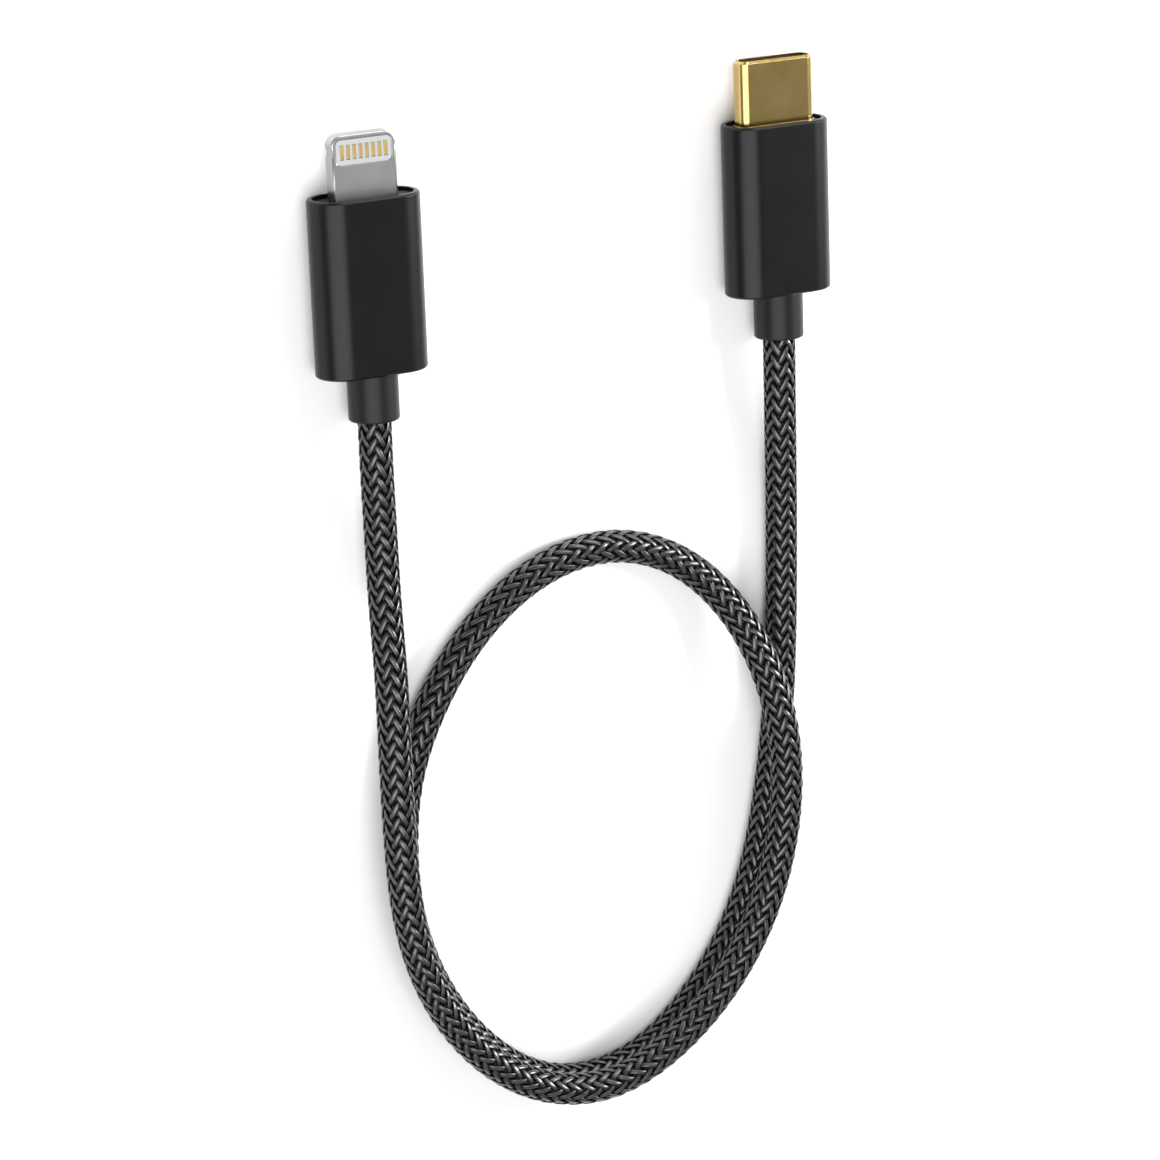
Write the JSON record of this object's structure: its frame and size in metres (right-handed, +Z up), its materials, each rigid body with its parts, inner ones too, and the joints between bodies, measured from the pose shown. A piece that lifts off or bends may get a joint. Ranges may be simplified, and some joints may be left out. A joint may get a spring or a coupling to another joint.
{
  "type": "charging cable",
  "caption": "Short black braided charging cable lying in one open loop, with a flat eight-pin plug and a USB-C plug in stadium-shaped aluminium sleeves.",
  "frame": {"origin": "on the surface the cable lies on, midway between the two plugs", "axes": "+Y along both plugs towards their tips, +X from the eight-pin plug to the USB-C plug, +Z up, square to the wide faces of both plugs"},
  "size_m": [0.0556, 0.1037, 0.0068],
  "materials": {
    "braid": "braided black nylon yarn with a soft sheen",
    "anodised_sleeve": "satin black anodised",
    "black_cap": "fine matte",
    "collar": "satin black moulded elastomer",
    "nickel_tip": "satin nickel plated",
    "grey_insert": "pale grey, moulded",
    "gold_contact": "gold plated",
    "gold_shell": "polished gold plated shell",
    "black_insulator": "matte black, moulded",
    "latch_steel": "plain stainless",
    "inner_moulding": "natural moulding",
    "circuit_board": "green solder mask",
    "chip": "epoxy package",
    "wire_jacket": "coloured wire insulation"
  },
  "bodies": {
    "root": {"cord": "braid", "eight_pin_chip": "chip", "eight_pin_circuit_board": "circuit_board", "eight_pin_collar": "collar", "eight_pin_contact_back_1": "gold_contact", "eight_pin_contact_back_2": "gold_contact", "eight_pin_contact_back_3": "gold_contact", "eight_pin_contact_back_4": "gold_contact", "eight_pin_contact_back_5": "gold_contact", "eight_pin_contact_back_6": "gold_contact", "eight_pin_contact_back_7": "gold_contact", "eight_pin_contact_back_8": "gold_contact", "eight_pin_contact_front_1": "gold_contact", "eight_pin_contact_front_2": "gold_contact", "eight_pin_contact_front_3": "gold_contact", "eight_pin_contact_front_4": "gold_contact", "eight_pin_contact_front_5": "gold_contact", "eight_pin_contact_front_6": "gold_contact", "eight_pin_contact_front_7": "gold_contact", "eight_pin_contact_front_8": "gold_contact", "eight_pin_contact_insert": "grey_insert", "eight_pin_inner_moulding": "inner_moulding", "eight_pin_mouth_cap": "black_cap", "eight_pin_rear_cap": "black_cap", "eight_pin_sleeve": "anodised_sleeve", "eight_pin_tip_frame": "nickel_tip", "eight_pin_wire_1": "wire_jacket", "eight_pin_wire_2": "wire_jacket", "eight_pin_wire_3": "wire_jacket", "eight_pin_wire_4": "wire_jacket", "type_c_chip": "chip", "type_c_circuit_board": "circuit_board", "type_c_collar": "collar", "type_c_contact_lower_1": "gold_contact", "type_c_contact_lower_2": "gold_contact", "type_c_contact_lower_3": "gold_contact", "type_c_contact_lower_4": "gold_contact", "type_c_contact_lower_5": "gold_contact", "type_c_contact_upper_1": "gold_contact", "type_c_contact_upper_2": "gold_contact", "type_c_contact_upper_3": "gold_contact", "type_c_contact_upper_4": "gold_contact", "type_c_contact_upper_5": "gold_contact", "type_c_contact_upper_6": "gold_contact", "type_c_contact_upper_7": "gold_contact", "type_c_flange": "gold_shell", "type_c_inner_moulding": "inner_moulding", "type_c_insulator": "black_insulator", "type_c_latch_plate": "latch_steel", "type_c_mouth_cap": "black_cap", "type_c_rear_cap": "black_cap", "type_c_shell": "gold_shell", "type_c_sleeve": "anodised_sleeve", "type_c_wire_1": "wire_jacket", "type_c_wire_2": "wire_jacket", "type_c_wire_3": "wire_jacket", "type_c_wire_4": "wire_jacket"}
  },
  "joints": []
}
